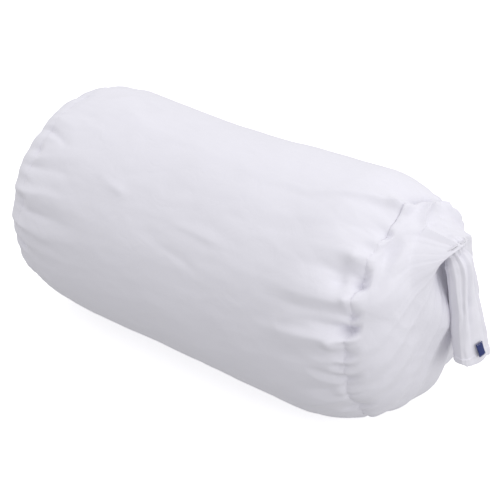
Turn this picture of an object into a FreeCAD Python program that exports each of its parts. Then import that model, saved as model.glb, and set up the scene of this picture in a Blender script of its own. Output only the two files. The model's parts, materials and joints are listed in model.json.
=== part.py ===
import FreeCAD, Part
import math
import os
import Sketcher
from FreeCAD import Placement, Rotation, Vector

# Round bolster pillow: a stuffed inner pillow in a loose cotton cover. The cover's mouth is
# drawn together near the top of one end, and the cloth past the gather hangs down as a tail.
#
# Frame, in millimetres: the origin is the middle of the flat patch that the bolster lies on,
# half way between the two end seams. +X runs along the bolster to the gathered end, and +Z is up.

doc = FreeCAD.newDocument("bolster")
sheet = doc.addObject("Spreadsheet::Sheet", "sizes")

SIZES = [
    # sleeve and its two ends
    ("body_radius", 120, "radius of the stuffed sleeve"),
    ("half_length", 190, "middle of the sleeve to either end seam"),
    ("near_shoulder", 57, "length over which the sleeve draws in to the gathered end's seam"),
    ("far_shoulder", 65, "length over which the sleeve draws in to the plain end's seam"),
    ("near_seam_drop", 18, "how much smaller the gathered end's seam radius is"),
    ("far_seam_drop", 8, "how much smaller the plain end's seam radius is"),
    ("near_dome", 36, "bulge of the gathered end past its seam"),
    ("far_dome", 46, "bulge of the plain end past its seam"),
    ("flat_depth", 7, "how far the weight flattens the underside"),
    # layers
    ("cover_cloth", 1.5, "thickness of the cover's cloth"),
    ("cover_ease", 1.2, "room between cover and inner pillow"),
    ("near_slack", 9, "empty cloth between the gathered end and the inner pillow"),
    ("liner_cloth", 1, "thickness of the inner pillow's cloth"),
    ("batting", 12, "thickness of the batting rolled round the fibre"),
    # gathered cloth at the mouth
    ("bunch_back", 19, "neck back to the middle of the bunched cloth behind it"),
    ("bunch_lift", 6, "neck up to the middle of the bunched cloth"),
    ("bunch_reach", 16, "half length of the bunched cloth along the bolster"),
    ("bunch_side", 26, "half width of the bunched cloth"),
    ("bunch_rise", 17, "half height of the bunched cloth"),
    ("neck_drop", 20, "seam radius down to the neck"),
    ("neck_out", 5, "how far the neck stands out past the gathered end's furthest point"),
    ("neck_ball", 11.5, "radius of the bound bundle of cloth at the neck"),
    ("neck_gap", 0.3, "clearance all round the neck bundle"),
    ("tie_radius", 0.8, "radius of the tie's cord"),
    ("tie_gap", 0.6, "clearance between the tie and the neck bundle"),
    ("tie_tilt", 40, "slope of the tie's ring from level"),
    # tail
    ("tail_length", 111, "neck to the bottom of the hem"),
    ("tail_thick", 16, "thickness of the tail's folded cloth at the hem"),
    ("tail_top_thick", 12, "thickness of the tail at the neck"),
    ("tail_top_width", 16, "width of the tail at the neck"),
    ("tail_width", 36, "width of the tail at the hem"),
    ("tail_start", 4, "how far below the neck's middle the tail begins"),
    ("tail_lean", 22, "how much further out the hem is than the neck"),
    ("hem_depth", 8, "height of the turned hem"),
    ("hem_proud", 0.6, "how far the doubled hem stands out"),
    # label
    ("label_width", 9, "width of the label"),
    ("label_height", 13, "height of the label"),
    ("label_cloth", 0.6, "thickness of the label"),
    ("label_side", 4.5, "middle of the tail to the middle of the label"),
    ("label_lift", 2, "bottom of the label above the hem"),
    ("label_gap", 0.05, "gap between the label and the tail under it"),
    # thread
    ("thread_radius", 0.4, "radius of the sewing thread"),
    ("thread_gap", 0.1, "gap between a stitch and the cloth"),
    ("stitch_run", 5, "length of one stitch in the long seams"),
    ("stitch_skip", 3, "gap between two stitches in the long seams"),
    ("fine_run", 2.2, "length of one stitch in the hem and the label"),
    ("fine_skip", 1.6, "gap between two stitches in the hem and the label"),
    ("back_seam_angle", 40, "how far below level the sleeve's long seam lies, at the back"),
]
for row, (alias, number, note) in enumerate(SIZES, start=1):
    sheet.set("A%d" % row, alias)
    sheet.set("B%d" % row, str(number))
    sheet.set("C%d" % row, note)
    sheet.setAlias("B%d" % row, alias)
doc.recompute()


def size(alias):
    """A driving dimension, as a plain number."""
    return float(sheet.get(alias))


# Places that several pieces share, as expressions on the sheet.
AXIS_Z = "(sizes.body_radius - sizes.flat_depth)"
NEAR_RADIUS = "(sizes.body_radius - sizes.near_seam_drop)"
FAR_RADIUS = "(sizes.body_radius - sizes.far_seam_drop)"
COVER_INNER = "sizes.cover_cloth"
LINER_OUTER = "(sizes.cover_cloth + sizes.cover_ease)"
LINER_INNER = "(sizes.cover_cloth + sizes.cover_ease + sizes.liner_cloth)"
CORE_OUTER = "(sizes.cover_cloth + sizes.cover_ease + sizes.liner_cloth + sizes.batting)"
NECK_HEIGHT = "(%s - sizes.neck_drop)" % NEAR_RADIUS


NECK_X = "(sizes.half_length + sizes.near_dome + sizes.neck_out)"
NECK_Z = "(%s + %s)" % (AXIS_Z, NECK_HEIGHT)

sub_parts = []


def sub_part(feature, label):
    """Mark a feature as a finished piece; its label names its file."""
    feature.Label = label
    sub_parts.append(feature)
    return feature


def bind(feature, **expressions):
    """Bind properties to the sheet. A double underscore stands for a dot."""
    for path, expression in expressions.items():
        feature.setExpression(path.replace("__", "."), str(expression))
    return feature


def place(feature, x="0", y="0", z="0", rotation=None):
    if rotation is not None:
        feature.Placement = Placement(Vector(), rotation)
    return bind(feature, Placement__Base__x=x, Placement__Base__y=y, Placement__Base__z=z)


# ---------------------------------------------------------------- forms of revolution

def sleeve_form(name, inset):
    """The sleeve's solid of revolution, pulled in by inset: straight in the middle, with a
    shoulder arc at each end that is tangent to the middle. The end planes stay in place."""
    body = doc.addObject("PartDesign::Body", name)
    sketch = body.newObject("Sketcher::SketchObject", name + "_profile")
    plane = [f for f in body.Origin.OriginFeatures if f.Role == "XZ_Plane"][0]
    sketch.AttachmentSupport = (plane, [""])
    sketch.MapMode = "FlatFace"

    half = size("half_length")
    radius = size("body_radius")
    near_x = half - size("near_shoulder")
    far_x = size("far_shoulder") - half
    near_drop = size("near_seam_drop")
    far_drop = size("far_seam_drop")
    near_bend = (size("near_shoulder") ** 2 + near_drop ** 2) / (2 * near_drop)
    far_bend = (size("far_shoulder") ** 2 + far_drop ** 2) / (2 * far_drop)
    up = Vector(0, 0, 1)
    near_circle = Part.Circle(Vector(near_x, radius - near_bend, 0), up, near_bend)
    far_circle = Part.Circle(Vector(far_x, radius - far_bend, 0), up, far_bend)
    near_end = math.acos(size("near_shoulder") / near_bend)
    far_end = math.pi - math.acos(size("far_shoulder") / far_bend)
    top_near = Vector(near_x, radius, 0)
    top_far = Vector(far_x, radius, 0)
    seam_near = Vector(half, radius - near_drop, 0)
    seam_far = Vector(-half, radius - far_drop, 0)
    sketch.addGeometry([
        Part.LineSegment(top_far, top_near),
        Part.ArcOfCircle(near_circle, near_end, math.pi / 2),
        Part.LineSegment(seam_near, Vector(half, 0, 0)),
        Part.LineSegment(Vector(half, 0, 0), Vector(-half, 0, 0)),
        Part.LineSegment(Vector(-half, 0, 0), seam_far),
        Part.ArcOfCircle(far_circle, math.pi / 2, far_end),
    ], False)
    rule = Sketcher.Constraint
    sketch.addConstraint([
        rule("Tangent", 0, 2, 1, 2),
        rule("Tangent", 0, 1, 5, 1),
        rule("Coincident", 1, 1, 2, 1),
        rule("Coincident", 2, 2, 3, 1),
        rule("Coincident", 3, 2, 4, 1),
        rule("Coincident", 4, 2, 5, 2),
        rule("Horizontal", 0),
        rule("Vertical", 2),
        rule("Vertical", 4),
        rule("PointOnObject", 2, 2, -1),
        rule("PointOnObject", 3, 2, -1),
    ])
    measures = [
        ("near_plane", rule("DistanceX", -1, 1, 2, 2, half), "sizes.half_length"),
        ("far_plane", rule("DistanceX", 3, 2, -1, 1, half), "sizes.half_length"),
        ("middle", rule("DistanceY", -1, 1, 0, 1, radius), "sizes.body_radius - %s" % inset),
        ("near_seam", rule("DistanceY", 2, 2, 2, 1, radius - near_drop),
         "%s - %s" % (NEAR_RADIUS, inset)),
        ("far_seam", rule("DistanceY", 3, 2, 4, 2, radius - far_drop),
         "%s - %s" % (FAR_RADIUS, inset)),
        ("near_arc", rule("DistanceX", 0, 2, 2, 2, size("near_shoulder")), "sizes.near_shoulder"),
        ("far_arc", rule("DistanceX", 3, 2, 0, 1, size("far_shoulder")), "sizes.far_shoulder"),
    ]
    for label, constraint, expression in measures:
        index = sketch.addConstraint(constraint)
        sketch.renameConstraint(index, label)
        sketch.setExpression("Constraints." + label, expression)
    turn = body.newObject("PartDesign::Revolution", name + "_turn")
    turn.Profile = sketch
    turn.ReferenceAxis = (sketch, ["H_Axis"])
    turn.Angle = 360
    return place(body, z=AXIS_Z)


def flattened_form(name, inset):
    """The sleeve's form with its underside pressed flat, both pulled in by inset."""
    above = doc.addObject("Part::Box", name + "_above")
    bind(above, Length="4 * sizes.half_length", Width="4 * sizes.body_radius",
         Height="4 * sizes.body_radius")
    place(above, x="-2 * sizes.half_length", y="-2 * sizes.body_radius", z=inset)
    form = doc.addObject("Part::Common", name)
    form.Base = sleeve_form(name + "_round", inset)
    form.Tool = above
    return form


def dome_form(name, seam_radius, bulge, towards):
    """Half an ellipsoid standing on an end seam's plane; towards is +1 or -1 along X."""
    dome = doc.addObject("Part::Ellipsoid", name)
    dome.Angle1 = 0
    bind(dome, Radius1=bulge, Radius2=seam_radius, Radius3=seam_radius)
    return place(dome, x="%d * sizes.half_length" % towards, z=AXIS_Z,
                 rotation=Rotation(Vector(0, 1, 0), 90 * towards))


def cut(name, base, tool):
    feature = doc.addObject("Part::Cut", name)
    feature.Base = base
    feature.Tool = tool
    return feature


def fuse(name, pieces):
    feature = doc.addObject("Part::MultiFuse", name)
    feature.Shapes = pieces
    return feature


# ---------------------------------------------------------------- sleeves and stuffing

cover_form = flattened_form("cover_form", "0")
cover_hollow = flattened_form("cover_hollow", COVER_INNER)
liner_form = flattened_form("liner_form", LINER_OUTER)
liner_hollow = flattened_form("liner_hollow", LINER_INNER)
batting_form = flattened_form("batting_form", LINER_INNER)
batting_hollow = flattened_form("batting_hollow", CORE_OUTER)
core_form = flattened_form("core_form", CORE_OUTER)

sub_part(cut("cover", cover_form, cover_hollow), "body_sleeve")
sub_part(cut("liner", liner_form, liner_hollow), "liner_sleeve")
sub_part(cut("wrap", batting_form, batting_hollow), "batting_wrap")

far_panel = cut("far_panel",
                dome_form("far_out", FAR_RADIUS, "sizes.far_dome", -1),
                dome_form("far_in", "%s - %s" % (FAR_RADIUS, COVER_INNER),
                          "sizes.far_dome - %s" % COVER_INNER, -1))
sub_part(far_panel, "far_end_panel")

liner_far = cut("liner_far",
                dome_form("liner_far_out", "%s - %s" % (FAR_RADIUS, LINER_OUTER),
                          "sizes.far_dome - %s" % LINER_OUTER, -1),
                dome_form("liner_far_in", "%s - %s" % (FAR_RADIUS, LINER_INNER),
                          "sizes.far_dome - %s" % LINER_INNER, -1))
sub_part(liner_far, "liner_far_end")

NEAR_BULGE = "sizes.near_dome - sizes.near_slack"
liner_near = cut("liner_near",
                 dome_form("liner_near_out", "%s - %s" % (NEAR_RADIUS, LINER_OUTER),
                           "%s - %s" % (NEAR_BULGE, LINER_OUTER), 1),
                 dome_form("liner_near_in", "%s - %s" % (NEAR_RADIUS, LINER_INNER),
                           "%s - %s" % (NEAR_BULGE, LINER_INNER), 1))
sub_part(liner_near, "liner_near_end")

core = fuse("core", [
    core_form,
    dome_form("core_near", "%s - %s" % (NEAR_RADIUS, LINER_INNER),
              "%s - %s" % (NEAR_BULGE, LINER_INNER), 1),
    dome_form("core_far", "%s - %s" % (FAR_RADIUS, LINER_INNER),
              "sizes.far_dome - %s" % LINER_INNER, -1),
])
sub_part(core, "fibre_core")

# ---------------------------------------------------------------- gathered end and neck


def neck_sphere(name, radius):
    ball = doc.addObject("Part::Sphere", name)
    bind(ball, Radius=radius)
    return place(ball, x=NECK_X, z=NECK_Z)


bunch = doc.addObject("Part::Ellipsoid", "bunch")
bind(bunch, Radius1="sizes.bunch_rise", Radius2="sizes.bunch_reach", Radius3="sizes.bunch_side")
place(bunch, x="%s - sizes.bunch_back" % NECK_X, z="%s + sizes.bunch_lift" % NECK_Z)

skirt_form = fuse("skirt_form", [
    dome_form("near_out", NEAR_RADIUS, "sizes.near_dome", 1),
    bunch,
])
skirt_room = fuse("skirt_room", [
    dome_form("near_in", "%s - %s" % (NEAR_RADIUS, COVER_INNER),
              "sizes.near_dome - %s" % COVER_INNER, 1),
    sleeve_form("skirt_room_sleeve", "0"),
    neck_sphere("skirt_socket", "sizes.neck_ball + sizes.neck_gap"),
])
sub_part(cut("skirt", skirt_form, skirt_room), "near_end_skirt")
sub_part(neck_sphere("bundle", "sizes.neck_ball"), "neck_bundle")

tie = doc.addObject("Part::Torus", "tie")
bind(tie, Radius1="sizes.neck_ball + sizes.tie_gap + sizes.tie_radius", Radius2="sizes.tie_radius")
place(tie, x=NECK_X, z=NECK_Z, rotation=Rotation(Vector(0, -1, 0), size("tie_tilt")))
sub_part(tie, "neck_tie")

# ---------------------------------------------------------------- tail, hem and label

TAIL_STATIONS = 7


def tail_centre(below):
    """X of the tail's middle at a distance below the neck: it leans out towards the hem, so
    that it clears the gathered end's bulge."""
    return "(%s + sizes.tail_lean * %s / sizes.tail_length)" % (NECK_X, below)


def tail_section(name, below, width, thickness):
    outline = doc.addObject("Part::Ellipse", name)
    bind(outline, MajorRadius="(%s) / 2" % width, MinorRadius="(%s) / 2" % thickness)
    return place(outline, x=tail_centre(below), z="%s - %s" % (NECK_Z, below),
                 rotation=Rotation(Vector(0, 0, 1), 90))


def loft(name, sections):
    feature = doc.addObject("Part::Loft", name)
    feature.Sections = sections
    feature.Solid = True
    return feature


HEM_TOP = "(sizes.tail_length - sizes.hem_depth)"
sections = []
for station in range(TAIL_STATIONS):
    share = "%d / %d" % (station, TAIL_STATIONS - 1)
    below = "(sizes.tail_start + (%s - sizes.tail_start) * %s)" % (HEM_TOP, share)
    width = "sizes.tail_top_width + (sizes.tail_width - sizes.tail_top_width) * %s" % share
    thick = "sizes.tail_top_thick + (sizes.tail_thick - sizes.tail_top_thick) * %s" % share
    sections.append(tail_section("tail_section_%d" % station, below, width, thick))
tail = cut("tail_cloth", loft("tail_form", sections),
           neck_sphere("tail_socket", "sizes.neck_ball + sizes.neck_gap"))
sub_part(tail, "tail")

HEM_WIDTH = "sizes.tail_width + 2 * sizes.hem_proud"
HEM_THICK = "sizes.tail_thick + 2 * sizes.hem_proud"
hem = loft("hem", [
    tail_section("hem_top", HEM_TOP, HEM_WIDTH, HEM_THICK),
    tail_section("hem_bottom", "sizes.tail_length", HEM_WIDTH, HEM_THICK),
])
sub_part(hem, "tail_hem")

# The label lies on the tail's outer face. The face is an ellipse in plan, and the label is
# turned to be tangent to it at its own middle, and leans as the tail does.
SIDE_SHARE = "(sizes.label_side / (sizes.tail_width / 2))"
FACE_OUT = "(sizes.tail_thick / 2 * sqrt(1 - %s * %s))" % (SIDE_SHARE, SIDE_SHARE)
face_side = size("label_side") / (size("tail_width") / 2)
label_turn = math.degrees(math.atan(
    size("tail_thick") / size("tail_width") * face_side / math.sqrt(1 - face_side ** 2)))
lean = math.degrees(math.atan(size("tail_lean") / size("tail_length")))
turn_cos = math.cos(math.radians(label_turn))
turn_sin = math.sin(math.radians(label_turn))
LABEL_FOOT = "(%s - sizes.label_lift)" % HEM_TOP
label = doc.addObject("Part::Box", "label")
bind(label, Length="sizes.label_cloth", Width="sizes.label_width", Height="sizes.label_height")
place(label,
      x="%s + %s + sizes.label_gap * %.6f + sizes.label_width / 2 * %.6f"
        % (tail_centre(LABEL_FOOT), FACE_OUT, turn_cos, turn_sin),
      y="sizes.label_side + sizes.label_gap * %.6f - sizes.label_width / 2 * %.6f"
        % (turn_sin, turn_cos),
      z="%s - %s" % (NECK_Z, LABEL_FOOT),
      rotation=Rotation(Vector(0, 0, 1), label_turn).multiply(Rotation(Vector(0, -1, 0), lean)))
sub_part(label, "woven_label")

doc.recompute()

# ---------------------------------------------------------------- stitching

axis_height = size("body_radius") - size("flat_depth")
thread = size("thread_radius")
proud = thread + size("thread_gap")


def stitch(start, end):
    run = end - start
    return Part.makeCylinder(thread, run.Length, start, run)


def stitched(name, stitches, label_text, placement=Placement()):
    """One row of stitches: separate short threads kept as one piece."""
    feature = doc.addObject("Part::Feature", name)
    feature.Shape = Part.Compound(stitches)
    feature.Placement = placement
    return sub_part(feature, label_text)


def seam_ring(x, radius):
    """Stitches round an end seam."""
    pitch = size("stitch_run") + size("stitch_skip")
    count = int(2 * math.pi * radius / pitch)
    half_turn = size("stitch_run") / radius / 2
    row = []
    for number in range(count):
        middle = 2 * math.pi * number / count
        ends = []
        for angle in (middle - half_turn, middle + half_turn):
            ends.append(Vector(x, radius * math.cos(angle), axis_height + radius * math.sin(angle)))
        row.append(stitch(ends[0], ends[1]))
    return row


def long_seam(radius):
    """Stitches along the straight part of a sleeve, low at the back."""
    pitch = size("stitch_run") + size("stitch_skip")
    first = size("far_shoulder") - size("half_length")
    last = size("half_length") - size("near_shoulder")
    down = math.radians(-size("back_seam_angle"))
    y = radius * math.cos(down)
    z = axis_height + radius * math.sin(down)
    row = []
    for number in range(int((last - first) / pitch)):
        x = first + number * pitch
        row.append(stitch(Vector(x, y, z), Vector(x + size("stitch_run"), y, z)))
    return row


near_radius = size("body_radius") - size("near_seam_drop")
far_radius = size("body_radius") - size("far_seam_drop")
half_length = size("half_length")
liner_inset = size("cover_cloth") + size("cover_ease")
stitched("near_ring", seam_ring(half_length, near_radius + proud), "near_seam_stitching")
stitched("far_ring", seam_ring(-half_length, far_radius + proud), "far_seam_stitching")
stitched("back_row", long_seam(size("body_radius") + proud), "sleeve_seam_stitching")
stitched("liner_near_ring", seam_ring(half_length, near_radius - liner_inset + proud),
         "liner_near_stitching")
stitched("liner_far_ring", seam_ring(-half_length, far_radius - liner_inset + proud),
         "liner_far_stitching")
stitched("liner_row", long_seam(size("body_radius") - liner_inset + proud),
         "liner_sleeve_stitching")


def hem_row():
    """Fine stitches round the hem, half way up it, in the hem's own plan."""
    out = size("tail_thick") / 2 + size("hem_proud") + proud + size("thread_gap")
    side = size("tail_width") / 2 + size("hem_proud") + proud + size("thread_gap")
    around = math.pi * (3 * (out + side) - math.sqrt((3 * out + side) * (out + 3 * side)))
    pitch = size("fine_run") + size("fine_skip")
    steps = 720
    turns = [2 * math.pi * number / steps for number in range(steps + 1)]
    points = [Vector(out * math.cos(turn), side * math.sin(turn), 0) for turn in turns]
    walked = [0.0]
    for before, after in zip(points, points[1:]):
        walked.append(walked[-1] + (after - before).Length)
    row = []
    for number in range(int(around / pitch)):
        start = next(i for i in range(steps) if walked[i] >= number * pitch)
        end = next((i for i in range(steps) if walked[i] >= number * pitch + size("fine_run")), steps)
        row.append(stitch(points[start], points[end]))
    return row


hem_middle = (doc.getObject("hem_top").Placement.Base
              + doc.getObject("hem_bottom").Placement.Base) * 0.5
stitched("hem_ring", hem_row(), "hem_stitching", Placement(hem_middle, Rotation()))


def label_rows():
    """Stitches along the label's top and bottom edges, on its outer face."""
    out = size("label_cloth") + proud
    margin = 1.0
    pitch = size("fine_run") + size("fine_skip")
    count = int((size("label_width") - 2 * margin + size("fine_skip")) / pitch)
    first = (size("label_width") - count * pitch + size("fine_skip")) / 2
    row = []
    for height in (margin, size("label_height") - margin):
        for number in range(count):
            across = first + number * pitch
            row.append(stitch(Vector(out, across, height),
                              Vector(out, across + size("fine_run"), height)))
    return row


stitched("label_row", label_rows(), "label_stitching", label.Placement)

# ---------------------------------------------------------------- check and write

doc.recompute()
for feature in doc.Objects:
    if "Invalid" in feature.State or "Error" in feature.State:
        raise RuntimeError("%s could not be built" % feature.Name)
for feature in sub_parts:
    if feature.Shape.isNull() or not feature.Shape.isValid():
        raise RuntimeError("%s has no valid shape" % feature.Label)

os.makedirs("parts", exist_ok=True)
for feature in sub_parts:
    feature.Shape.exportStep(os.path.join("parts", feature.Label + ".step"))
    box = feature.Shape.optimalBoundingBox()
    print("%-24s solids %3d  volume %10.0f  x %.1f..%.1f  y %.1f..%.1f  z %.1f..%.1f" % (
        feature.Label, len(feature.Shape.Solids), feature.Shape.Volume,
        box.XMin, box.XMax, box.YMin, box.YMax, box.ZMin, box.ZMax))
neck = doc.getObject("bundle").Placement.Base
print("neck pivot %.2f %.2f %.2f" % (neck.x, neck.y, neck.z))
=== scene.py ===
import json
import math

import bpy
import numpy as np
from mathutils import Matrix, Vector, noise


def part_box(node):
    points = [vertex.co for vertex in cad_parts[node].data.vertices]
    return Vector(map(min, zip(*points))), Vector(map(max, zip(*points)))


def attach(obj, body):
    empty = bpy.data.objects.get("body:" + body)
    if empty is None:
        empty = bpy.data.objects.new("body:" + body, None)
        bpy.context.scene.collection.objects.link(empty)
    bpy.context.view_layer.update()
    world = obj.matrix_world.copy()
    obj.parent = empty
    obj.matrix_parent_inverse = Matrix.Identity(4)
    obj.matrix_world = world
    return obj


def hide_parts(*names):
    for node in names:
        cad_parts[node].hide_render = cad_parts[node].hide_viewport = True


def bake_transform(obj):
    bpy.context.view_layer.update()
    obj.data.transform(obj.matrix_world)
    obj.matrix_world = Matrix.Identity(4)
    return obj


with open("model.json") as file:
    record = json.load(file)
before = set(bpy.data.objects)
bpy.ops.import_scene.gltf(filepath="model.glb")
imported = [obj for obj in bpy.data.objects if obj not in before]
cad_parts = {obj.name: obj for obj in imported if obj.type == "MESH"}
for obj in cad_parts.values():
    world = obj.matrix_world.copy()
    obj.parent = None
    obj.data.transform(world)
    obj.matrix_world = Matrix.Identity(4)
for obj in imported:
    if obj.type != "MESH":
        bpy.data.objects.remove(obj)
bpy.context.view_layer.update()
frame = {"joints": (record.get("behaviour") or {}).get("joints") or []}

# The bolster's own sizes, in metres, from the frame.
sleeve_low, sleeve_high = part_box("body_sleeve")
skirt_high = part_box("near_end_skirt")[1]
panel_low, panel_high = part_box("far_end_panel")
hem_low, hem_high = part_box("tail_hem")
label_low, label_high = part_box("woven_label")
MM = 0.001
HALF = sleeve_high.x
RADIUS = (sleeve_high.y - sleeve_low.y) / 2
AXIS = sleeve_high.z - RADIUS
NEAR_R = skirt_high.y
FAR_R = panel_high.y
FAR_DOME = -HALF - panel_low.x
NECK = Vector(frame["joints"][0]["pos_m"])

# Sizes that are the cover's own.
NEAR_SHOULDER = 57 * MM
FAR_SHOULDER = 65 * MM
FAR_EASE = 3 * MM            # how far the loose end panel stands past the stuffing
END_BULGE = 42 * MM          # how far the gathered end is stuffed past its seam
FLOOR_GAP = 0.6 * MM         # cloth's height where the bolster rests
REST_SOFTNESS = 4 * MM       # height over which the underside turns flat
NEAR_PUCKERS = 36            # puckers round each end's seam
FAR_PUCKERS = 26


# ---------------------------------------------------------------- mesh helpers

def grid_mesh(name, points, wrap=True, flip=False):
    """A mesh from a rows-by-columns array of points. wrap joins the last column to the first."""
    rows, columns, _ = points.shape
    numbers = np.arange(rows * columns).reshape(rows, columns)
    if wrap:
        right = np.roll(numbers, -1, axis=1)
        quads = np.stack([numbers[:-1], right[:-1], right[1:], numbers[1:]], axis=-1)
    else:
        quads = np.stack([numbers[:-1, :-1], numbers[:-1, 1:], numbers[1:, 1:], numbers[1:, :-1]],
                         axis=-1)
    quads = quads.reshape(-1, 4)
    if flip:
        quads = quads[:, ::-1]
    return plain_mesh(name, points.reshape(-1, 3), quads.tolist())


def plain_mesh(name, points, faces):
    mesh = bpy.data.meshes.new(name)
    mesh.from_pydata(np.asarray(points).tolist(), [], faces)
    mesh.shade_smooth()
    mesh.update()
    piece = bpy.data.objects.new(name, mesh)
    bpy.context.scene.collection.objects.link(piece)
    return piece


def smooth_noise(x, y, seed, octaves=3):
    """Smooth noise from about -1 to 1 at each point of two equal arrays."""
    flat = [noise.fractal((a, b, seed), 0.8, 2.0, octaves)
            for a, b in zip(np.ravel(x), np.ravel(y))]
    return np.array(flat).reshape(np.shape(x))


def ring_noise(turns, count, seed, octaves=2):
    """Smooth noise round a ring, with about count bumps in the full turn."""
    scale = count / (2 * math.pi)
    flat = [noise.fractal((scale * math.cos(a), scale * math.sin(a), seed), 0.8, 2.0, octaves)
            for a in np.ravel(turns)]
    return np.array(flat).reshape(np.shape(turns))


def bell(value, middle, width):
    return np.exp(-((value - middle) / width) ** 2)


def ease(value, start, end):
    """0 before start, 1 after end, smooth between them."""
    share = np.clip((value - start) / (end - start), 0, 1)
    return share * share * (3 - 2 * share)


def turn_away(turn, middle):
    """Degrees from a turn in radians to a place in degrees, the short way round."""
    return (np.degrees(turn) - middle + 180) % 360 - 180


# ---------------------------------------------------------------- the sleeve's surface
# A turn is the angle from the top of the bolster towards its front, which is -Y.

def base_radius(x):
    """The stuffed cover's radius at a place along the bolster."""
    near_drop = RADIUS - NEAR_R
    far_drop = RADIUS - FAR_R
    near_bend = (NEAR_SHOULDER ** 2 + near_drop ** 2) / (2 * near_drop)
    far_bend = (FAR_SHOULDER ** 2 + far_drop ** 2) / (2 * far_drop)
    near_in = np.clip(x - (HALF - NEAR_SHOULDER), 0, NEAR_SHOULDER * 1.25)
    far_in = np.clip(-HALF + FAR_SHOULDER - x, 0, FAR_SHOULDER)
    radius = RADIUS - near_bend + np.sqrt(near_bend ** 2 - near_in ** 2)
    return radius - far_bend + np.sqrt(far_bend ** 2 - far_in ** 2)


def seam_x(turn):
    """Where the gathered end's seam lies: the pull of the neck draws it out at the top's
    back, and lets it lean a little at the front."""
    drawn = 13 * bell(turn_away(turn, -52), 0, 22)
    return HALF + (drawn - 4.5 * np.cos(turn)) * MM


# Folds on the sleeve. Each runs from one place to another: x in mm from the middle of the
# bolster and turn in degrees. Then its height in mm (a valley is negative), its half width
# in mm at its strong end, and how far it leans to one side.
SLEEVE_FOLDS = [
    ((82, 23), (190, 3), 8.5, 6, 0.55),
    ((156, -62), (190, -33), 5.0, 5, 0.3),
    ((92, 8), (196, -10), -4.5, 14, 0.0),
    ((116, 37), (190, 19), -5.5, 10, 0.0),
    ((92, 64), (189, 60), 8.0, 8, 0.4),
    ((118, 51), (188, 46), -9.0, 8, 0.0),
    ((140, 40), (190, 37), 5.0, 6, 0.2),
    ((104, 68), (189, 65), -4.5, 6, 0.0),
    ((90, 82), (190, 77), 8.5, 7, -0.3),
    ((134, 72), (189, 71), -9.0, 6, 0.0),
    ((150, 93), (190, 99), -5.0, 5, 0.0),
    ((144, 89), (190, 90), 4.5, 6, 0.0),
    ((132, 127), (191, 114), 5.5, 8, 0.3),
    ((136, 115), (190, 105), -4.5, 7, 0.0),
]
FAR_FOLDS = [
    ((-92, 60), (-188, 66), 5.0, 7, 0.2),
    ((-98, 73), (-188, 75), -5.0, 6, 0.0),
    ((-112, 85), (-189, 84), 5.0, 6, -0.2),
    ((-112, 50), (-188, 53), -4.5, 6, 0.0),
    ((-142, 40), (-190, 31), -6.5, 4, 0.0),
    ((-138, 30), (-190, 24), 3.5, 6, 0.0),
    ((-130, 101), (-188, 97), -4.5, 6, 0.0),
    ((-130, 115), (-188, 110), 4.0, 7, 0.0),
    ((-36, 5), (-122, -4), -3.0, 12, 0.4),
    ((-40, 16), (-112, 9), 2.4, 9, 0.4),
    ((-123, 43), (-72, 49), 2.6, 6, 0.0),
    ((-50, 52), (40, 55), 1.6, 4, 0.3),
    ((-60, 60), (20, 68), -1.5, 5, 0.3),
]


def fold_height(x, turn, folds):
    """How far the listed folds lift the cloth at each place."""
    lift = np.zeros_like(x)
    round_length = 2 * math.pi * RADIUS
    for (x0, t0), (x1, t1), height, width, lean in folds:
        start = np.array([x0 * MM, math.radians(t0) * RADIUS])
        end = np.array([x1 * MM, math.radians(t1) * RADIUS])
        run = end - start
        length = math.hypot(*run)
        run = run / length
        across = (turn * RADIUS - start[1] + round_length / 2) % round_length - round_length / 2
        along = ((x - start[0]) * run[0] + across * run[1]) / length
        aside = -(x - start[0]) * run[1] + across * run[0]
        grow = np.clip(along, 0, 1)
        strength = grow ** 1.4 * np.clip((1.25 - along) / 0.25, 0, 1)
        spread = width * MM * (1.5 - 0.5 * grow)
        q = aside / spread
        q = np.where(q > 0, q * (1 + lean), q * (1 - lean))
        crest = np.exp(-np.abs(q) ** 1.5)
        lift += height * MM * strength * (crest - 0.4 * np.exp(-(q / 2.3) ** 2))
    return lift


# Dents and bumps by the gathered end's seam: x in mm, turn in degrees, height and radius in mm.
SLEEVE_BLOBS = [
    (187, 50, -7.5, 5), (178, 40, 6.5, 8), (184, 58, 5.0, 5), (187, 73, -7.5, 5),
    (180, 80, 4.0, 6), (172, 51, -5.0, 6), (183, 32, -2.0, 5), (188, 22, -1.5, 6),
    (186, 92, -3.5, 5), (187, 108, 3.0, 7),
    (188, 128, -3.0, 6), (180, 4, 3.5, 8), (188, -20, -3.5, 7), (187, -75, -5.0, 7),
    (187, -110, -5.0, 7), (187, -150, -4.0, 7), (-188, 71, -5.0, 6), (-188, 95, -5.0, 6),
    (-188, 45, -4.0, 6), (-188, -30, -4.0, 7), (-188, -80, -5.0, 7), (-188, -125, -5.0, 7),
]


def blob_height(x, turn, blobs):
    lift = np.zeros_like(x)
    for place, middle, height, radius in blobs:
        along = (x - place * MM) / (radius * MM)
        aside = np.radians(turn_away(turn, middle)) * RADIUS / (radius * MM)
        lift += height * MM * np.exp(-along ** 2 - aside ** 2)
    return lift


def seam_pucker(away, turn, count, seed, strength):
    """The drawn-in seam: a groove, and short puckers that run off it and die away. away is
    the distance from the seam, in metres."""
    bumps = ring_noise(turn, count, seed, 3)
    reach = (11 + 10 * ring_noise(turn, 9, seed + 5, 1)) * MM
    fade = np.exp(-np.abs(away) / np.maximum(reach, 4 * MM))
    groove = -1.5 * MM * np.exp(-np.abs(away) / (1.5 * MM))
    return groove + strength * MM * bumps * fade


NEAR_SEAM_SEED = 11.0
FAR_SEAM_SEED = 31.0


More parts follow.
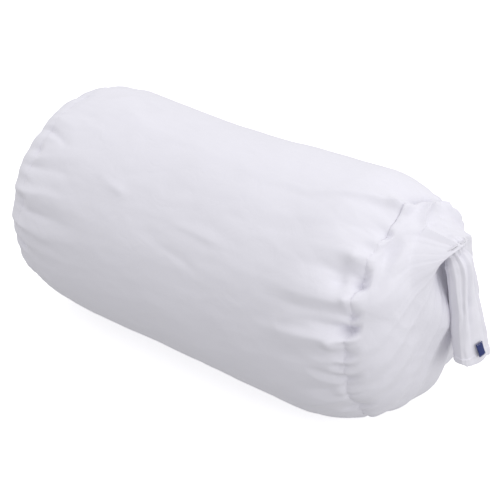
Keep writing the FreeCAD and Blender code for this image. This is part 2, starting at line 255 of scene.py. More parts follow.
def sleeve_lift(x, turn):
    """How far the cover stands off its plain stuffed form."""
    lift = fold_height(x, turn, SLEEVE_FOLDS)
    lift += fold_height(x, turn, FAR_FOLDS)
    lift += seam_pucker(seam_x(turn) - x, turn, NEAR_PUCKERS, NEAR_SEAM_SEED, 4.6)
    lift += seam_pucker(x + HALF, turn, FAR_PUCKERS, FAR_SEAM_SEED, 5.0)
    lift -= 6.2 * MM * bell(turn_away(turn, -37), 0, 34) * bell(x, -30 * MM, 105 * MM)
    lift += 4.5 * MM * bell(turn_away(turn, -45), 0, 45) * ease(-x, 130 * MM, HALF)
    lift += 2.5 * MM * bell(turn_away(turn, 75), 0, 40) * ease(-x, 130 * MM, HALF)
    lift += blob_height(x, turn, SLEEVE_BLOBS)
    lift += 1.5 * MM * smooth_noise(x * 9, turn * RADIUS * 9, 3.3, 2)
    lift += 0.4 * MM * smooth_noise(x * 26, turn * RADIUS * 48, 8.1, 2)
    ends = 0.35 + 0.65 * np.maximum(ease(x, 60 * MM, HALF), ease(-x, 100 * MM, HALF))
    crumple = np.abs(smooth_noise(x * 13, turn * RADIUS * 30, 21.7, 3))
    lift += 2.0 * MM * ends * (0.3 - crumple)
    return lift


def around(x, turn, radius):
    return np.stack([x, -radius * np.sin(turn), AXIS + radius * np.cos(turn)], axis=-1)


def lay_flat(points, height=FLOOR_GAP):
    """Press the underside flat where it rests, with a soft edge."""
    soft = REST_SOFTNESS
    depth = points[..., 2]
    low = height + soft * np.exp((depth - height - soft) / soft)
    points[..., 2] = np.where(depth < height + soft, low, depth)
    return points


TURNS = np.linspace(-math.pi, math.pi, 360, endpoint=False)


def sleeve_points(inset=0.0, rows=250, turns=TURNS):
    """The sleeve's surface. An inset one lies inside the cover and fills its valleys. Its
    rows are closer together by the seams."""
    steps = np.linspace(0, 1, rows)
    steps = steps - 0.13 * np.sin(2 * math.pi * steps)
    share, turn = np.meshgrid(steps, turns, indexing="ij")
    x = -HALF + share * (seam_x(turn) + HALF)
    lift = sleeve_lift(x, turn)
    if inset:
        lift = np.minimum(lift, 0) - inset
    return lay_flat(around(x, turn, base_radius(x) + lift), FLOOR_GAP + inset)


def far_points(inset=0.0, rows=70, turns=TURNS):
    """The plain end, from its seam to its middle."""
    share, turn = np.meshgrid(np.linspace(0, 1, rows), turns, indexing="ij")
    bend = share * math.pi / 2
    edge = sleeve_lift(np.full_like(turn[:1], -HALF), turn[:1])
    gathers = 4.0 * MM * ring_noise(turn, 20, 55.0, 2) * np.sin(bend * 2) ** 0.7
    gathers *= (1 - share) ** 1.8
    fade = 0.45 * np.exp(-share * 9) + 0.55 * (1 - share) ** 3
    across = FAR_R * np.cos(bend)
    crumple = np.abs(smooth_noise(across * np.sin(turn) * 17, across * np.cos(turn) * 17, 29.0, 3))
    lift = edge * fade + gathers + 2.2 * MM * (0.3 - crumple) * np.sin(bend)
    if inset:
        lift = np.minimum(lift, 0) - inset
    x = -HALF - (FAR_DOME + FAR_EASE) * np.sin(bend) - lift * np.sin(bend)
    radius = np.maximum(FAR_R * np.cos(bend) + lift * np.cos(bend), 0)
    return lay_flat(around(x, turn, radius), FLOOR_GAP + inset)


# ---------------------------------------------------------------- the gathered end
# The neck's ring: its plane holds Y and the slope, and the cloth passes it towards the tail.
RING_SLOPE = math.radians(40)
RING_UP = np.array([math.cos(RING_SLOPE), 0, math.sin(RING_SLOPE)])
RING_THROUGH = np.array([math.sin(RING_SLOPE), 0, -math.cos(RING_SLOPE)])
RING_SIDE = np.array([0, -1.0, 0])
RING_WIDE = 17.5 * MM
RING_HIGH = 12.5 * MM

# Gathers of the near end, which run from the seam to the neck: turn in degrees at the seam,
# degrees that it drifts on its way, height in mm, half width in degrees, and the shares of the
# way at which each is born and dies.
GATHERS = [
    (-30, 14, 2.5, 9, 0.2, 1.1), (20, -10, 2.0, 8, 0.1, 0.9),
    (-50, 20, -3.5, 9, 0.0, 1.1), (-70, 20, 3.5, 10, -0.1, 1.2), (30, -6, -4.0, 9, -0.1, 0.7),
    (42, -2, 3.0, 8, -0.1, 0.8), (53, -4, -2.2, 7, -0.1, 0.6), (64, -6, 1.6, 8, 0.0, 0.7),
    (92, 4, -0.8, 6, 0.1, 1.0), (101, 8, 1.2, 4, 0.0, 1.1), (108, 10, -1.2, 4, -0.1, 1.1),
    (116, 12, 1.3, 4, 0.0, 1.1), (124, 14, -1.3, 4, 0.0, 1.1), (133, 12, 1.4, 5, 0.05, 1.1),
    (143, 10, -1.4, 4, 0.0, 1.1), (154, 4, 1.6, 5, 0.0, 1.1), (167, 0, -1.8, 6, 0.0, 1.1),
    (180, 0, 2.2, 7, 0.0, 1.1), (-165, 0, -2.2, 6, 0.0, 1.1), (-150, 0, 2.4, 7, 0.0, 1.1),
    (-134, 4, -2.4, 7, 0.0, 1.1), (-116, 8, 2.6, 8, 0.0, 1.1), (-96, 12, -2.6, 7, 0.0, 1.1),
]


# Two crests run from the seam and meet on their way to the neck: shares of the way there,
# and the turn in degrees at each.
FRONT_CREST = ([0, 0.29, 0.68, 1], [2, -13, 6, 10])
BACK_CREST = ([0, 0.29, 0.5], [-33, -14, -8])
MOUTH_PAST = 2.5 * MM        # how far the cloth's mouth stands past the neck's middle


def surface_normals(points):
    """Unit normals of a wrapped grid."""
    along = np.gradient(points, axis=0)
    around_it = (np.roll(points, -1, axis=1) - np.roll(points, 1, axis=1)) / 2
    normal = np.cross(along, around_it)
    length = np.linalg.norm(normal, axis=-1, keepdims=True)
    return normal / np.maximum(length, 1e-12)


def over_the_stuffing(edge, ring, share):
    """Lines that lie on the stuffed end, fuller near the neck, and run in to its ring."""
    inward = share[..., None] ** 1.5
    points = edge + (ring - edge) * inward
    y = points[..., 1]
    z = points[..., 2] - AXIS
    rim = np.hypot(edge[..., 1], edge[..., 2] - AXIS)
    far_out = np.clip(np.hypot(y, z) / rim, 0, 1)
    bulge = END_BULGE * (1 - far_out ** 2.6) ** 0.62
    inside = 1 - far_out ** 4
    bulge += 9 * MM * bell(y, 0, 52 * MM) * bell(z, NECK.z - AXIS - 12 * MM, 42 * MM) * inside
    bulge += 8 * MM * bell(y, -12 * MM, 22 * MM) * bell(z, NECK.z - AXIS - 52 * MM, 34 * MM)
    bulge += 6 * MM * bell(y, -10 * MM, 18 * MM) * bell(z, NECK.z - AXIS - 28 * MM, 20 * MM)
    bulge += 8 * MM * bell(y, 62 * MM, 42 * MM) * bell(z, 0, 62 * MM) * inside
    last = ease(share, 0.72, 1.0)
    surface = edge[..., 0] + bulge
    points[..., 0] = surface + (ring[..., 0] - surface) * last
    return points


def crest_lift(share, turn, swell):
    """The two crests, the pocket between them, and the hollows and corner beside them."""
    front = np.interp(share, *FRONT_CREST)
    back = np.interp(share, *BACK_CREST)
    risen = np.minimum(share / 0.06, 1)
    lift = 6 * MM * np.exp(-np.abs(turn_away(turn, front) / 6) ** 1.2) * swell
    lift += (5.5 * MM * np.exp(-np.abs(turn_away(turn, back) / 6) ** 1.2)
             * (1 - ease(share, 0.3, 0.5)) * risen)
    # Turn in degrees, height in mm, half width in degrees, the middle and half length as
    # shares of the way to the neck, and how it rises from the seam.
    for place, height, width, middle, reach, rising in [
            (-15, -5, 8, 0.1, 0.08, risen), (-42, 8, 10, 0.13, 0.11, risen),
            (-28, -5, 8, 0.42, 0.15, swell), (36, -6, 14, 0.34, 0.16, swell),
            (62, 2.5, 18, 0.4, 0.25, swell)]:
        there = bell(turn_away(turn, place), 0, width) * bell(share, middle, reach)
        lift += height * MM * there * rising
    return lift


def skirt_points(inset=0.0, rows=150, turns=TURNS):
    """The gathered end: each line of cloth runs from the seam, over the stuffing, to the
    neck's ring."""
    share, turn = np.meshgrid(np.linspace(0, 1, rows), turns, indexing="ij")
    edge_x = seam_x(turn)
    edge_lift = sleeve_lift(edge_x, turn)
    if inset:
        edge_lift = np.minimum(edge_lift, 0) - inset
    edge = around(edge_x, turn, base_radius(edge_x) + edge_lift)
    rim = around(edge_x, turn, base_radius(edge_x) - inset)
    ring = (np.array(NECK) + MOUTH_PAST * RING_THROUGH
            + RING_HIGH * np.cos(turn)[..., None] * RING_UP
            + RING_WIDE * np.sin(turn)[..., None] * RING_SIDE)
    points = over_the_stuffing(rim, ring, share)
    points += (edge - rim) * (1 - ease(share, 0, 0.22)[..., None])
    normal = surface_normals(points)
    outward = np.sign(np.sum(normal * (points - np.array([HALF - 60 * MM, 0, AXIS])), axis=-1))
    normal = normal * outward[..., None]
    lift = np.zeros_like(share)
    for place, drift, height, width, born, dies in GATHERS:
        there = ease(share, born, born + 0.3) * (1 - ease(share, dies - 0.3, dies))
        away = np.abs(turn_away(turn, place + drift * share)) / width
        lift += height * MM * there * np.exp(-away ** 1.6)
    swell = np.sin(np.clip(share, 0, 1) ** 0.8 * math.pi) ** 0.55
    lift = lift * swell * (1 - 0.5 * share)
    lift += 0.9 * MM * ring_noise(turn, 44, 77.0, 2) * ease(share, 0.2, 0.9) * swell
    lift += 0.9 * MM * smooth_noise(points[..., 1] * 24, points[..., 2] * 24, 5.5, 2) * swell
    puckers = seam_pucker(share * 90 * MM, turn, NEAR_PUCKERS, NEAR_SEAM_SEED, 4.6)
    lift += puckers * swell * (1 - share)
    crumple = np.abs(smooth_noise(points[..., 1] * 18, points[..., 2] * 18, 71.0, 3))
    lift += 2.0 * MM * (0.3 - crumple) * swell
    lift += crest_lift(share, turn, swell)
    if inset:
        lift = np.minimum(lift, 0) - inset * swell
    points = points + normal * lift[..., None]
    return lay_flat(points, FLOOR_GAP + inset)


# ---------------------------------------------------------------- neck and tail
# The tail's middle line leaves the neck square to the ring, bends down, and leans out. It is
# followed by its own length from the neck.
TAIL_DROP = NECK.z - hem_low.z - 5 * MM
HEM_DEPTH = hem_high.z - hem_low.z
TAIL_LEAN = math.radians(12.5)
TAIL_YAW = math.radians(-12)
TAIL_ASIDE = 4.5 * MM
TAIL_WIDE = (hem_high.y - hem_low.y) / 2
TAIL_THICK = 8.6 * MM
TAIL_ROOT = -3 * MM          # where the cloth begins, inside the neck
ROOT_PINCH = 4.2 * MM        # how much narrower the tie draws it there


def tail_slope(walked):
    """The middle line's angle from plumb, at lengths along it in metres."""
    return RING_SLOPE + (TAIL_LEAN - RING_SLOPE) * ease(walked, -4 * MM, 30 * MM)


WALK = np.linspace(-10 * MM, 130 * MM, 561)
WALK_STEP = WALK[1] - WALK[0]
WALK_OUT = np.cumsum(np.sin(tail_slope(WALK))) * WALK_STEP
WALK_DOWN = np.cumsum(np.cos(tail_slope(WALK))) * WALK_STEP
WALK_OUT -= np.interp(0, WALK, WALK_OUT)
WALK_DOWN -= np.interp(0, WALK, WALK_DOWN)
TAIL_LENGTH = float(np.interp(TAIL_DROP, WALK_DOWN, WALK))

# Pleats of the tail: turn round the tail from its outer face in degrees (towards the front is
# positive), height in mm and half width in degrees. They run from the neck to the hem.
PLEATS = [
    (78, 1.6, 12), (54, -1.9, 9), (34, 1.9, 9), (14, -2.0, 8), (-6, 1.9, 9), (-26, -2.1, 8),
    (-46, 1.8, 10), (-68, -1.7, 9), (-92, 1.8, 14), (-128, -1.8, 18), (-165, 1.8, 18),
    (158, -1.8, 18), (118, 1.8, 16),
]


def tail_frame(walked):
    """Middle, width direction and face direction of the tail, at lengths along it."""
    share = np.clip(walked / TAIL_LENGTH, 0, 1.1)
    slope = tail_slope(walked)
    middle = np.stack([NECK.x + np.interp(walked, WALK, WALK_OUT),
                       NECK.y + TAIL_ASIDE * share,
                       NECK.z - np.interp(walked, WALK, WALK_DOWN)], axis=-1)
    yaw = TAIL_YAW * ease(share, 0.1, 0.8)
    flat = ease(share, 0.0, 0.5)
    rise = np.sin(slope) * (1 - flat)
    level = np.sqrt(1 - rise * rise)
    wide = np.stack([np.sin(yaw), -np.cos(yaw), 0 * share], axis=-1)
    face = np.stack([np.cos(yaw) * level, np.sin(yaw) * level, rise], axis=-1)
    return middle, wide, face


def squared(value, power):
    """A sine or cosine flattened towards a square wave by a power below 1."""
    return np.sign(value) * np.abs(value) ** power


def tail_points(walked, turns, inset=0.0, hem=0.0):
    """The tail's surface at lengths along it from the neck, and at turns round it."""
    share = np.clip(walked / TAIL_LENGTH, 0, 1)
    middle, wide, face = tail_frame(walked)
    width = RING_WIDE - 1 * MM + (TAIL_WIDE - RING_WIDE + 1 * MM) * ease(share, 0.35, 0.9)
    width -= 2.5 * MM * bell(share, 0.14, 0.13) + 1.5 * MM * bell(share, 0.5, 0.2)
    thick = RING_HIGH - 0.8 * MM + (TAIL_THICK - RING_HIGH + 0.8 * MM) * ease(share, 0.0, 0.5)
    bound = ROOT_PINCH * (1 - ease(walked, 3 * MM, 16 * MM))
    width -= bound
    thick -= bound
    round_off = np.sqrt(np.clip((walked - TAIL_ROOT) / (7 * MM), 0, 1))
    squareness = 1 - 0.42 * ease(share, 0.15, 0.6)
    lift = np.zeros_like(share)
    for place, height, spread in PLEATS:
        wander = 7 * np.sin(share * 3.0 + place)
        dies = 0.55 + 0.4 * math.sin(place * 1.7) ** 2
        there = 1 - 0.75 * ease(share, dies - 0.35, dies)
        lift += 0.62 * height * MM * there * bell(turn_away(turns, place + wander), 0, spread)
    lift *= 0.7 + 0.3 * ease(share, 0.02, 0.2)
    lift += 0.8 * MM * ring_noise(turns, 22, 91.0, 2) * (1 - 0.5 * share)
    lift += 0.7 * MM * smooth_noise(turns * 1.2, walked * 50, 41.0, 2)
    reach_wide = width * round_off + lift * 0.8 - inset + hem
    reach_face = thick * round_off + lift - inset + hem
    across = squared(np.sin(turns), squareness)
    outward = squared(np.cos(turns), squareness)
    return (middle + (across * reach_wide)[..., None] * wide
            + (outward * reach_face)[..., None] * face)


def rim_drop(turns):
    """How far the hem's edge hangs past its mean line, in metres."""
    scallops = 1.5 * np.cos(turns * 2 + 0.6) + 2.0 * ring_noise(turns, 11, 63.0, 2)
    notch = 1.6 * bell(turn_away(turns, -30), 0, 12)
    point = 1.2 * bell(turn_away(turns, 20), 0, 20)
    return (scallops - notch + point) * MM


TAIL_TURNS = np.linspace(-math.pi, math.pi, 160, endpoint=False)


def make_tail():
    """The tail's cloth, from inside the neck to the top of the hem and a little past it."""
    walked = np.linspace(TAIL_ROOT, TAIL_LENGTH - HEM_DEPTH * 0.6, 130)
    along, turn = np.meshgrid(walked, TAIL_TURNS, indexing="ij")
    return grid_mesh("tail_cloth", tail_points(along, turn))


def make_hem():
    """The turned hem: a doubled band with a rolled edge, which turns up inside the tail."""
    rows = []
    top = TAIL_LENGTH - HEM_DEPTH
    profile = [(0.0, -0.15), (0.2, 0.45), (0.8, 0.6), (2.5, 0.55), (5.0, 0.7), (6.6, 0.75),
               (7.5, 0.45), (8.0, -0.1), (7.8, -0.8), (7.2, -1.3), (5.0, -1.5), (1.0, -1.6),
               (-5.0, -1.8), (-12.0, -2.2), (-18.0, -3.4), (-20.0, -6.0)]
    for down, out in profile:
        share = max(down, 0) / 8.0
        turns = TAIL_TURNS
        below = top + down * MM + rim_drop(turns) * share
        puckers = 0.35 * MM * ring_noise(turns, 46, 17.0, 2) * bell(down, 3.5, 4.0)
        rows.append(tail_points(below, turns, hem=out * MM + puckers))
    return grid_mesh("tail_hem_band", np.array(rows))


BUNDLE_RADIUS = 11.2 * MM
TIE_RADIUS = 0.75 * MM
TIE_LAY = 3.0 * MM           # length of one twist of the tie's strands
TIE_SPACING = 1.5 * MM       # between its two turns


def make_bundle():
    """The bound cloth at the neck: a small pleated bulb that fills the ring."""
    share, turn = np.meshgrid(np.linspace(0.02, 0.98, 40), TAIL_TURNS, indexing="ij")
    bend = share * math.pi
    pleat = 1 + 0.06 * np.cos(turn * 13 + 2 * np.sin(turn * 2)) * np.sin(bend)
    radius = BUNDLE_RADIUS * pleat
    out = np.sin(bend) * radius
    points = (np.array(NECK)
              - (np.cos(bend) * BUNDLE_RADIUS)[..., None] * RING_THROUGH
              + (out * np.cos(turn))[..., None] * RING_UP
              + (out * np.sin(turn) * 1.1)[..., None] * RING_SIDE)
    return grid_mesh("neck_pleats", points)


def make_tie():
    """Two turns of twisted cord bound round the neck's ring."""
    turns = np.linspace(0, 4 * math.pi, 320)
    high = RING_HIGH - 0.4 * MM
    wide = RING_WIDE - 0.6 * MM
    line = (np.array(NECK) + (high * np.cos(turns))[:, None] * RING_UP
            + (wide * np.sin(turns))[:, None] * RING_SIDE
            + ((turns / (2 * math.pi) - 1) * TIE_SPACING)[:, None] * RING_THROUGH)
    return twisted_cord("neck_tie_cord", line, TIE_RADIUS, TIE_LAY)


# ---------------------------------------------------------------- cords and stitches

SEAM_RUN = 4 * MM            # length of a seam's stitch, and the gap to the next
SEAM_SKIP = 2.6 * MM
SEAM_THREAD = 0.28 * MM      # thread radii
HEM_THREAD = 0.2 * MM
LABEL_THREAD = 0.16 * MM


def line_frames(line):
    """Two directions square to a line at each of its points, which don't twist along it."""
    forward = np.gradient(line, axis=0)
    forward /= np.linalg.norm(forward, axis=1, keepdims=True)
    side = np.zeros_like(line)
    guess = np.array([0.3, 0.2, 0.93])
    for number, ahead in enumerate(forward):
        guess = guess - ahead * guess.dot(ahead)
        guess = guess / np.linalg.norm(guess)
        side[number] = guess
    return side, np.cross(forward, side)


def twisted_cord(name, line, radius, pitch):
    """A cord of three strands laid round each other along a line."""
    side, up = line_frames(line)
    steps = np.linalg.norm(np.diff(line, axis=0), axis=1)
    walked = np.concatenate([[0], np.cumsum(steps)])
    lay = walked / pitch * 2 * math.pi
    corners = np.linspace(0, 2 * math.pi, 18, endpoint=False)
    angle = corners[None, :] + lay[:, None]
    reach = radius * (0.86 + 0.14 * np.abs(np.cos(1.5 * corners)))[None, :]
    points = (line[:, None] + (reach * np.cos(angle))[..., None] * side[:, None]
              + (reach * np.sin(angle))[..., None] * up[:, None])
    return grid_mesh(name, points)


def stitch_row(name, line, normal, run=SEAM_RUN, skip=SEAM_SKIP, radius=SEAM_THREAD):
    """Separate threads along a line on a surface: each dips in at both ends."""
    steps = np.linalg.norm(np.diff(line, axis=0), axis=1)
    walked = np.concatenate([[0], np.cumsum(steps)])
    count = max(int(walked[-1] / (run + skip)), 1)
    pitch = walked[-1] / count
    points = []
    faces = []
    corners = np.linspace(0, 2 * math.pi, 6, endpoint=False)
    for number in range(count):
        places = (number + 0.5) * pitch + np.linspace(-run / 2, run / 2, 7)
        spot = np.stack([np.interp(places, walked, line[:, axis]) for axis in range(3)], axis=1)
        lift = np.stack([np.interp(places, walked, normal[:, axis]) for axis in range(3)], axis=1)
        lift /= np.linalg.norm(lift, axis=1, keepdims=True)
        ahead = np.gradient(spot, axis=0)
        ahead /= np.linalg.norm(ahead, axis=1, keepdims=True)
        side = np.cross(ahead, lift)
        arch = np.sin(np.linspace(0, math.pi, 7))
        spot = spot + lift * ((arch * 1.5 - 0.9) * radius)[:, None]
        thick = radius * (0.55 + 0.45 * arch)
        base = len(points)
        for middle, out, across, size in zip(spot, lift, side, thick):
            for corner in corners:
                points.append(middle + size * (math.cos(corner) * out + math.sin(corner) * across))
        for ring in range(6):
            for corner in range(6):
                after = (corner + 1) % 6
                faces.append([base + ring * 6 + corner, base + ring * 6 + after,
                              base + ring * 6 + 6 + after, base + ring * 6 + 6 + corner])
        faces.append([base + corner for corner in reversed(range(6))])
        faces.append([base + 36 + corner for corner in range(6)])
    return plain_mesh(name, points, faces)


def closed(line):
    return np.concatenate([line, line[:1]])


def out_from(line, centre):
    away = line - centre
    return away / np.linalg.norm(away, axis=1, keepdims=True)


def near_seam_stitches(inset, name):
    row = sleeve_points(inset)[-2]
    return stitch_row(name, closed(row), closed(out_from(row, (HALF, 0, AXIS))))


def far_seam_stitches(inset, name):
    row = sleeve_points(inset)[0]
    return stitch_row(name, closed(row), closed(out_from(row, (-HALF, 0, AXIS))))


BACK_SEAM = math.radians(-130)


def back_seam_stitches(inset, name):
    column = sleeve_points(inset, turns=np.array([BACK_SEAM]))[8:-8, 0]
    normal = column - column * np.array([1, 0, 0]) - np.array([0, 0, AXIS])
    normal /= np.linalg.norm(normal, axis=1, keepdims=True)
    return stitch_row(name, column, normal)


def hem_stitches():
    turns = TAIL_TURNS
    below = TAIL_LENGTH - HEM_DEPTH + 1.6 * MM + rim_drop(turns) * 0.2
    row = tail_points(below, turns, hem=0.75 * MM)
    centre = row.mean(axis=0)
    return stitch_row("hem_stitch_row", closed(row), closed(out_from(row, centre)),
                      2.0 * MM, 1.2 * MM, HEM_THREAD)


# ---------------------------------------------------------------- label

LABEL_WIDE = 9 * MM
LABEL_TALL = label_high.z - label_low.z
LABEL_CLOTH = 0.5 * MM
LABEL_FOOT = TAIL_LENGTH - 6.5 * MM
LABEL_LIFT = 0.2 * MM        # gap to the tail's cloth
LABEL_WAVE = 0.25 * MM


def label_wave(across, up):
    """How far the label's cloth ripples off its plain bow."""
    return LABEL_WAVE * np.sin(up * 5 + across * 2)


def label_spot(across, up, out):
    """A place on the label: shares of its width and height, and metres off the tail."""
    walked = LABEL_FOOT - up * LABEL_TALL
    middle, wide, face = tail_frame(walked)
    aside = 4.2 * MM - across * LABEL_WIDE - 1.5 * MM * (1 - up)
    bow = TAIL_THICK + 2.6 * MM - 1.6 * MM * (across - 0.2) ** 2 - 0.8 * MM * up
    return middle + aside[..., None] * wide + (bow + out)[..., None] * face


def label_block(name, low, high, left, right, lift, depth):
    """A thin curved slab of the label: its woven face."""
    up, across = np.meshgrid(np.linspace(low, high, 26), np.linspace(left, right, 20),
                             indexing="ij")
    rise = lift + label_wave(across, up)
    front = label_spot(across, up, rise + depth)
    back = label_spot(across, up, rise)
    rows = np.concatenate([back[:1], front, back[-1:]])
    mesh = grid_mesh(name, np.concatenate([rows, back[::-1]]), wrap=False)
    return mesh


def make_label():
    return label_block("side_label", 0.0, 1.0, 0.0, 1.0, LABEL_LIFT, LABEL_CLOTH)


def label_stitches():
    lines = []
    normals = []
    for up in (0.05, 0.95):
        across = np.linspace(0.06, 0.94, 24)
        rise = LABEL_LIFT + LABEL_CLOTH + label_wave(across, up)
        spots = label_spot(across, np.full(24, up), rise)
        above = label_spot(across, np.full(24, up), rise + MM)
        lines.append(spots)
        normals.append(above - spots)
    return [stitch_row("label_stitch_row_%d" % number, line, normal,
                       1.3 * MM, 0.7 * MM, LABEL_THREAD)
            for number, (line, normal) in enumerate(zip(lines, normals))]


# ---------------------------------------------------------------- materials

def new_material(name, colour, roughness):
    material = bpy.data.materials.new(name)
    material.use_nodes = True
    shader = material.node_tree.nodes["Principled BSDF"]
    shader.inputs["Base Color"].default_value = (*colour, 1)
    shader.inputs["Roughness"].default_value = roughness
    return material, material.node_tree, shader


def two_tones(tree, shader, factor, dark, light):
    """Colour the surface between two tones."""
    tone = tree.nodes.new("ShaderNodeMix")
    tone.data_type = "RGBA"
    tone.inputs[6].default_value = (*dark, 1)
    tone.inputs[7].default_value = (*light, 1)
    tree.links.new(factor, tone.inputs[0])
    tree.links.new(tone.outputs[2], shader.inputs["Base Color"])


def relief(tree, height, strength, depth, onto):
    """Raise the surface by a height, and pass its normal to a socket."""
    bump = tree.nodes.new("ShaderNodeBump")
    bump.inputs["Strength"].default_value = strength
    bump.inputs["Distance"].default_value = depth
    tree.links.new(height, bump.inputs["Height"])
    tree.links.new(bump.outputs["Normal"], onto)
    return bump


def cloth(name, dark, light, threads, weave_depth, crease_depth, sheen=0.2):
    """Plain-woven cloth: crossing threads with slubs, fine creases, and a soft unevenness.
    threads is the weave's thread count per metre."""
    material, tree, shader = new_material(name, light, 0.9)
    shader.inputs["Sheen Weight"].default_value = sheen
    shader.inputs["Sheen Roughness"].default_value = 0.55
    shader.inputs["Specular IOR Level"].default_value = 0.2
    nodes = tree.nodes
    links = tree.links
    place = nodes.new("ShaderNodeTexCoord")

    def texture(kind, scale, **settings):
        node = nodes.new(kind)
        node.inputs["Scale"].default_value = scale
        for key, value in settings.items():
            node.inputs[key].default_value = value
        links.new(place.outputs["Object"], node.inputs["Vector"])
        return node

    def combine(first, second, operation, share=1.0):
        node = nodes.new("ShaderNodeMath")
        node.operation = operation
        links.new(first, node.inputs[0])
        if second is None:
            node.inputs[1].default_value = share
        else:
            links.new(second, node.inputs[1])
        return node.outputs[0]

    blotch = texture("ShaderNodeTexNoise", 11, Detail=5)
    two_tones(tree, shader, blotch.outputs["Fac"], dark, light)

    slub = texture("ShaderNodeTexNoise", threads / 6, Detail=3)
    weave = texture("ShaderNodeTexVoronoi", threads, Randomness=0.35)
    thread = combine(combine(slub.outputs["Fac"], None, "MULTIPLY", 0.8),
                     combine(weave.outputs["Distance"], None, "MULTIPLY", 0.8), "ADD")

    crease = texture("ShaderNodeTexNoise", 34, Detail=4, Distortion=0.7)
    ridge = combine(combine(crease.outputs["Fac"], None, "SUBTRACT", 0.5), None, "ABSOLUTE")
    creased = relief(tree, ridge, 0.55, crease_depth, shader.inputs["Normal"])
    relief(tree, thread, 0.5, weave_depth, creased.inputs["Normal"])
    return material


def fibres(name, dark, light, scale):
    """Matted fibre: batting and stuffing."""
    material, tree, shader = new_material(name, light, 0.95)
    shader.inputs["Sheen Weight"].default_value = 0.4
    nodes = tree.nodes
    links = tree.links
    place = nodes.new("ShaderNodeTexCoord")
    tuft = nodes.new("ShaderNodeTexNoise")
    tuft.inputs["Scale"].default_value = scale
    tuft.inputs["Detail"].default_value = 8
    tuft.inputs["Distortion"].default_value = 1.2
    links.new(place.outputs["Object"], tuft.inputs["Vector"])
    two_tones(tree, shader, tuft.outputs["Fac"], dark, light)
    relief(tree, tuft.outputs["Fac"], 0.8, 0.001, shader.inputs["Normal"])
    return material


def twisted_thread(name, dark, light, ribs):
    """Spun thread: fine ribs from its twist, with painted shade: its tone is darker in the grooves
    between the ribs and lighter on their crests.
    """
    material, tree, shader = new_material(name, light, 0.75)
    shader.inputs["Sheen Weight"].default_value = 0.3
    nodes = tree.nodes
    links = tree.links
    place = nodes.new("ShaderNodeTexCoord")
    ply = nodes.new("ShaderNodeTexWave")
    ply.bands_direction = "DIAGONAL"
    ply.inputs["Scale"].default_value = ribs
    ply.inputs["Distortion"].default_value = 1.5
    links.new(place.outputs["Object"], ply.inputs["Vector"])
    # Painted shade: the tone follows the ribs' relief, darker in their grooves and lighter on their
    # crests.
    two_tones(tree, shader, ply.outputs["Fac"], dark, light)
    relief(tree, ply.outputs["Fac"], 0.5, 0.00015, shader.inputs["Normal"])
    return material


COVER = cloth("cover_cotton", (0.745, 0.735, 0.80), (0.79, 0.78, 0.85), 2600, 0.00012, 0.0016)
COVER_FLAT = cloth("cover_cotton_hem", (0.76, 0.75, 0.81), (0.80, 0.79, 0.86), 2600, 0.00015,
                   0.0008)
LINER = cloth("liner_cotton", (0.76, 0.75, 0.78), (0.82, 0.81, 0.84), 2000, 0.00015, 0.001)
BATTING = fibres("batting_felt", (0.78, 0.78, 0.78), (0.88, 0.88, 0.88), 160)
FILLING = fibres("fibre_tufts", (0.80, 0.80, 0.80), (0.90, 0.90, 0.90), 70)
THREAD = twisted_thread("sewing_thread", (0.74, 0.73, 0.78), (0.86, 0.85, 0.90), 900)
CORD = twisted_thread("tie_cord", (0.74, 0.73, 0.79), (0.80, 0.79, 0.85), 500)
LABEL = cloth("label_weave", (0.012, 0.018, 0.085), (0.035, 0.055, 0.20), 3200, 0.0002, 0.0004,
              sheen=0.1)


# ---------------------------------------------------------------- the object

def finish_piece(piece, material, slot_name, *stands_for):
    piece.data.materials.clear()
    piece.data.materials.append(material)
    if stands_for:
        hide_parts(*stands_for)
    return piece


def dress(piece, material, slot_name, body, *stands_for):
    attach(piece, body)
    return finish_piece(piece, material, slot_name, *stands_for)


# How far inside the cover each inner layer lies.
CASING_INSET = 4 * MM
ROLL_INSET = 6 * MM
FIBRE_INSET = 18 * MM


def closed_core(name, inset):
    """One closed form inside the cover: far end, sleeve and near end in a single skin."""
    turns = TURNS[::3]
    far = far_points(inset, 24, turns)[::-1]
    middle = sleeve_points(inset, 70, turns)[1:]
    near = skirt_points(inset, 40, turns)[1:24]
    tip = near[-1].mean(axis=0)
    closing = [near[-1] + (tip - near[-1]) * share for share in (0.35, 0.7, 0.98)]
    return grid_mesh(name, np.concatenate([far, middle, near, np.array(closing)]))


def make_bolster():
    sleeve = dress(grid_mesh("cover_sleeve", sleeve_points(), flip=True), COVER,
                   "cover_cloth", "bolster", "body_sleeve")
    panel = dress(grid_mesh("cover_far_panel", far_points()), COVER,
                  "cover_cloth", "bolster", "far_end_panel")
    skirt = dress(grid_mesh("cover_end_skirt", skirt_points(), flip=True), COVER,
                  "cover_cloth", "bolster", "near_end_skirt")
    dress(near_seam_stitches(0.0, "near_seam_thread"), THREAD, "sewing_thread", "bolster",
          "near_seam_stitching")
    dress(far_seam_stitches(0.0, "far_seam_thread"), THREAD, "sewing_thread", "bolster",
          "far_seam_stitching")
    dress(back_seam_stitches(0.0, "sleeve_seam_thread"), THREAD, "sewing_thread", "bolster",
          "sleeve_seam_stitching")


def make_inside():
    casing = dress(closed_core("liner_casing", CASING_INSET), LINER, "liner_cloth", "bolster",
                   "liner_sleeve", "liner_near_end", "liner_far_end")
    dress(near_seam_stitches(CASING_INSET, "liner_near_thread"), THREAD, "sewing_thread", "bolster",
          "liner_near_stitching")
    dress(far_seam_stitches(CASING_INSET, "liner_far_thread"), THREAD, "sewing_thread", "bolster",
          "liner_far_stitching")
    dress(back_seam_stitches(CASING_INSET, "liner_seam_thread"), THREAD, "sewing_thread", "bolster",
          "liner_sleeve_stitching")
    roll = dress(closed_core("batting_roll", ROLL_INSET), BATTING, "batting", "bolster",
                 "batting_wrap")
    filling = dress(closed_core("fibre_filling", FIBRE_INSET), FILLING, "fibre_fill", "bolster",
                    "fibre_core")


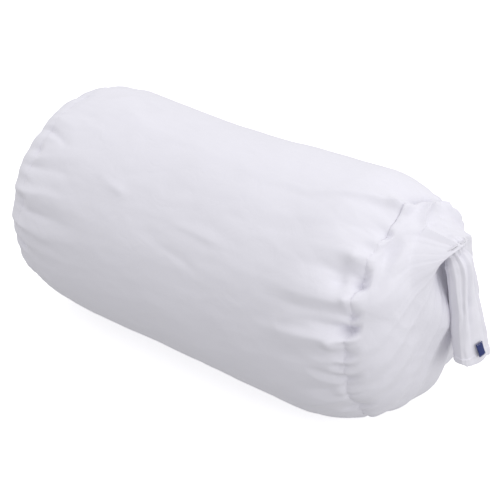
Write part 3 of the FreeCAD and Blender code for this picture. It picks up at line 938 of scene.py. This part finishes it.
def make_neck_and_tail():
    dress(make_tie(), CORD, "tie_cord", "bolster", "neck_tie")
    bundle = dress(make_bundle(), COVER, "cover_cloth", "neck", "neck_bundle")
    tail = finish_piece(make_tail(), COVER, "cover_cloth", "tail")
    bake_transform(tail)
    hem = dress(make_hem(), COVER_FLAT, "cover_cloth", "tail", "tail_hem")
    dress(hem_stitches(), THREAD, "sewing_thread", "tail", "hem_stitching")
    dress(make_label(), LABEL, "label_cloth", "tail", "woven_label")
    for number, row in enumerate(label_stitches()):
        if number == 0:
            dress(row, THREAD, "sewing_thread", "tail", "label_stitching")
        else:
            dress(row, THREAD, "sewing_thread", "tail")


make_bolster()
make_inside()
make_neck_and_tail()


# ---------------------------------------------------------------- studio and camera

LIGHT_SIZE = 1.6
KEY_PLACE, KEY_POWER = (0.1, 0.2, 2.2), 7
FILL_PLACE, FILL_POWER = (2.4, 0.2, 0.7), 13
SKY_BELOW, SKY_ABOVE = 0.40, 1.0
FLOOR_GLOW = 0.45            # keeps the backdrop white beside the white cloth
AZIMUTH = math.radians(36.7)     # from the front towards the gathered end
ELEVATION = math.radians(31.57)
DISTANCE = 1.1972


def area_light(name, place, target, size, power):
    light = bpy.data.lights.new(name, "AREA")
    light.shape = "DISK"
    light.size = size
    light.energy = power
    lamp = bpy.data.objects.new(name, light)
    lamp.location = place
    lamp.rotation_euler = (Vector(target) - Vector(place)).to_track_quat("-Z", "Y").to_euler()
    bpy.context.scene.collection.objects.link(lamp)


def make_world(below, above):
    """Even studio light that is brighter from above than from below."""
    world = bpy.data.worlds.new("studio")
    world.use_nodes = True
    nodes = world.node_tree.nodes
    links = world.node_tree.links
    direction = nodes.new("ShaderNodeTexCoord")
    split = nodes.new("ShaderNodeSeparateXYZ")
    links.new(direction.outputs["Generated"], split.inputs["Vector"])
    level = nodes.new("ShaderNodeMapRange")
    level.inputs["From Min"].default_value = -1
    level.inputs["From Max"].default_value = 1
    level.inputs["To Min"].default_value = below
    level.inputs["To Max"].default_value = above
    links.new(split.outputs["Z"], level.inputs["Value"])
    background = nodes["Background"]
    background.inputs["Color"].default_value = (1.0, 1.0, 1.0, 1)
    links.new(level.outputs["Result"], background.inputs["Strength"])
    bpy.context.scene.world = world


def make_studio():
    bpy.ops.mesh.primitive_plane_add(size=30, location=(0, 0, 0))
    floor = bpy.context.object
    floor.name = "studio_floor"
    material, tree, shader = new_material("studio_floor", (0.99, 0.99, 0.99), 0.9)
    shader.inputs["Specular IOR Level"].default_value = 0.0
    shader.inputs["Emission Color"].default_value = (1, 1, 1, 1)
    shader.inputs["Emission Strength"].default_value = FLOOR_GLOW
    floor.data.materials.append(material)
    floor.visible_diffuse = False
    make_world(SKY_BELOW, SKY_ABOVE)
    middle = (0, 0, 0.1)
    area_light("key", KEY_PLACE, middle, LIGHT_SIZE, KEY_POWER)
    area_light("fill", FILL_PLACE, middle, LIGHT_SIZE, FILL_POWER)


def make_camera():
    level = math.cos(ELEVATION)
    back = Vector((math.sin(AZIMUTH) * level, -math.cos(AZIMUTH) * level, math.sin(ELEVATION)))
    target = Vector((0, 0, AXIS))
    camera_data = bpy.data.cameras.new("camera")
    camera_data.sensor_width = 36
    camera_data.lens = 86.4
    camera_data.shift_x = 0.0262
    camera_data.shift_y = -0.01
    camera = bpy.data.objects.new("camera", camera_data)
    camera.location = target + back * DISTANCE
    camera.rotation_euler = back.to_track_quat("Z", "Y").to_euler()
    bpy.context.scene.collection.objects.link(camera)
    bpy.context.scene.camera = camera


make_studio()
make_camera()
bpy.context.scene.view_settings.view_transform = "Standard"
